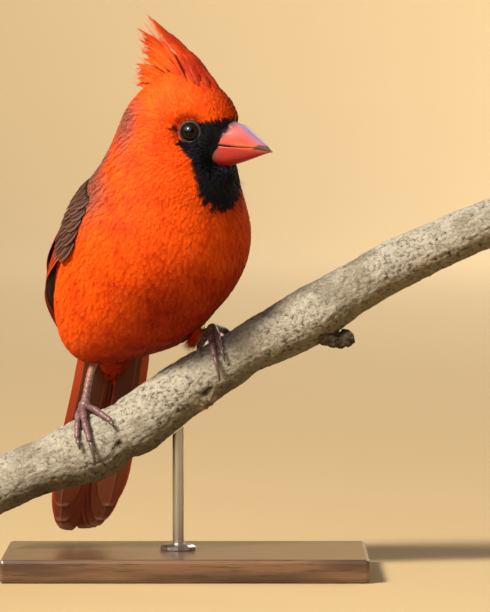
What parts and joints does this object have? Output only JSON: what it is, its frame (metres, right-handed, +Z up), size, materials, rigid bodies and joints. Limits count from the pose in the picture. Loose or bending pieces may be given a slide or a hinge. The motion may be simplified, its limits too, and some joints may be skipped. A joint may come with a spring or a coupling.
{
  "type": "northern cardinal display model",
  "caption": "Life-size still model of a crested red perching bird with a black face mask, on a cut branch carried by a rod and a flat base.",
  "frame": {"origin": "middle of the underside of the stand's base", "axes": "+Z up, viewer at -Y, +X towards the branch's higher end"},
  "size_m": [0.2029, 0.1036, 0.2145],
  "materials": {
    "plumage_red": "soft red feathers, black on the face and throat",
    "wing_brown": "dark brown feathers with red edges",
    "bill_coral": "satin coral horn",
    "eye_dark": "wet and glossy",
    "leg_mauve": "dull scaly skin",
    "claw_dark": "polished dark horn",
    "bark_grey": "rough mottled bark",
    "stand_walnut": "oiled walnut",
    "stand_steel": "satin steel"
  },
  "bodies": {
    "root": {"head": "plumage_red", "neck": "plumage_red", "torso": "plumage_red", "wing_left": "wing_brown", "wing_right": "wing_brown", "tail": "wing_brown", "bill_upper": "bill_coral", "bill_lower": "bill_coral", "eye_left": "eye_dark", "eye_right": "eye_dark", "leg_left": "leg_mauve", "leg_right": "leg_mauve", "foot_left": "leg_mauve", "foot_right": "leg_mauve", "claw_left_middle": "claw_dark", "claw_left_inner": "claw_dark", "claw_left_outer": "claw_dark", "claw_left_back": "claw_dark", "claw_right_middle": "claw_dark", "claw_right_inner": "claw_dark", "claw_right_outer": "claw_dark", "claw_right_back": "claw_dark", "perch_branch": "bark_grey", "stand_base": "stand_walnut", "stand_rod": "stand_steel"}
  },
  "joints": []
}
